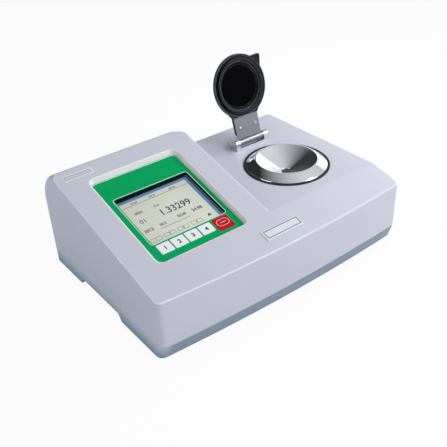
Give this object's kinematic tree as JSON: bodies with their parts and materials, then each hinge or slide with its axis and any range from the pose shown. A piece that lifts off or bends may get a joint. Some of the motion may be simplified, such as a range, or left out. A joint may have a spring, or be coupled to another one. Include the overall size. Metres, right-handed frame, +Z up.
{
  "type": "benchtop refractometer",
  "caption": "Automatic digital benchtop refractometer: wedge-shaped case with a display and keys, a polished sample stage with a prism, and a hinged lid that closes over it.",
  "frame": {"origin": "on the bench surface, below the centre of the case", "axes": "+X to the instrument's right, +Y to its back, +Z up"},
  "size_m": [0.37, 0.26, 0.2168],
  "materials": {
    "housing_plastic": "fine satin paint, pale grey-lilac",
    "tray_plastic": "satin slate blue-grey",
    "foot_rubber": "matte black",
    "steel_screw": "zinc-plated",
    "panel_metal": "satin grey",
    "plate_metal": "satin, bevel polished",
    "overlay_film": "satin green",
    "clear_sheet": "clear, smooth",
    "black_plastic": "fine texture",
    "lcd_face": "reflective liquid-crystal display",
    "zinc_sheet": "plain zinc-plated",
    "key_white": "satin white",
    "key_red": "satin red",
    "circuit_board": "green solder mask",
    "dome_steel": "bright",
    "stage_steel": "polished stainless steel",
    "seal_rubber": "matte black",
    "optical_glass": "polished",
    "prism_glass": "polished, dark against its holder",
    "holder_metal": "machined",
    "black_metal": "black anodised",
    "heat_pump": "white",
    "sink_metal": "extruded",
    "filter_glass": "polished, amber",
    "brass_pin": "bright",
    "lid_plastic": "fine satin black",
    "hinge_steel": "satin stainless steel"
  },
  "bodies": {
    "case": {"upper_housing": "housing_plastic", "base_tray": "tray_plastic", "foot_front_left": "foot_rubber", "foot_front_right": "foot_rubber", "foot_rear_left": "foot_rubber", "foot_rear_right": "foot_rubber", "case_screws": "steel_screw", "rear_panel": "panel_metal", "rear_screws": "steel_screw", "nameplate": "plate_metal", "overlay_panel": "overlay_film", "display_window": "clear_sheet", "lcd_frame": "black_plastic", "lcd_module": "lcd_face", "display_bracket": "zinc_sheet", "key_board": "circuit_board", "dome_switches": "dome_steel", "inner_screws": "steel_screw", "stage_ring": "stage_steel", "stage_seal": "seal_rubber", "stage_retainer": "zinc_sheet", "prism": "prism_glass", "prism_seal": "seal_rubber", "prism_holder": "holder_metal", "temperature_sensor": "steel_screw", "peltier_module": "heat_pump", "heat_sink": "sink_metal", "sink_screws": "steel_screw", "optics_frame": "black_metal", "lamp_tube": "black_metal", "collimator_lens": "optical_glass", "interference_filter": "filter_glass", "lamp_board": "circuit_board", "camera_tube": "black_metal", "imaging_lens": "optical_glass", "sensor_board": "circuit_board", "main_board": "circuit_board", "board_components": "black_plastic", "power_supply": "zinc_sheet", "power_inlet": "black_plastic", "inlet_pins": "brass_pin", "power_switch_housing": "black_plastic", "serial_port": "zinc_sheet", "fan_frame": "black_plastic", "hinge_base": "hinge_steel", "hinge_base_screws": "steel_screw", "hinge_pin": "hinge_steel"},
    "lid": {"lid_shell": "lid_plastic", "lid_seal": "seal_rubber", "lid_liner": "black_plastic", "hinge_arm": "hinge_steel", "hinge_arm_screws": "steel_screw"},
    "rocker": {"power_rocker": "black_plastic"},
    "fan": {"fan_rotor": "black_plastic"},
    "key_1": {"key_1": "key_white"},
    "key_2": {"key_2": "key_white"},
    "key_3": {"key_3": "key_white"},
    "key_4": {"key_4": "key_white"},
    "start_key": {"start_key": "key_red"}
  },
  "joints": [
    {"name": "lid_hinge", "type": "hinge", "parent": "case", "child": "lid", "pos_m": [0.098, 0.0679, 0.1046], "axis": [1, 0, 0], "range_deg": [0, 105.5]},
    {"name": "power_switch", "type": "hinge", "parent": "case", "child": "rocker", "pos_m": [-0.038, 0.1258, 0.057], "axis": [-1, 0, 0], "range_deg": [0, 16]},
    {"name": "fan_spin", "type": "hinge", "parent": "case", "child": "fan", "pos_m": [-0.121, 0.122, 0.057], "axis": [0, 1, 0], "continuous": true},
    {"name": "key_1_press", "type": "slide", "parent": "case", "child": "key_1", "axis": [0, 0.251, -0.968], "range_m": [0, 0.0005], "stiffness_N_per_m": 400, "springref_m": -0.0005},
    {"name": "key_2_press", "type": "slide", "parent": "case", "child": "key_2", "axis": [0, 0.251, -0.968], "range_m": [0, 0.0005], "stiffness_N_per_m": 400, "springref_m": -0.0005},
    {"name": "key_3_press", "type": "slide", "parent": "case", "child": "key_3", "axis": [0, 0.251, -0.968], "range_m": [0, 0.0005], "stiffness_N_per_m": 400, "springref_m": -0.0005},
    {"name": "key_4_press", "type": "slide", "parent": "case", "child": "key_4", "axis": [0, 0.251, -0.968], "range_m": [0, 0.0005], "stiffness_N_per_m": 400, "springref_m": -0.0005},
    {"name": "start_key_press", "type": "slide", "parent": "case", "child": "start_key", "axis": [0, 0.251, -0.968], "range_m": [0, 0.0005], "stiffness_N_per_m": 400, "springref_m": -0.0005}
  ]
}
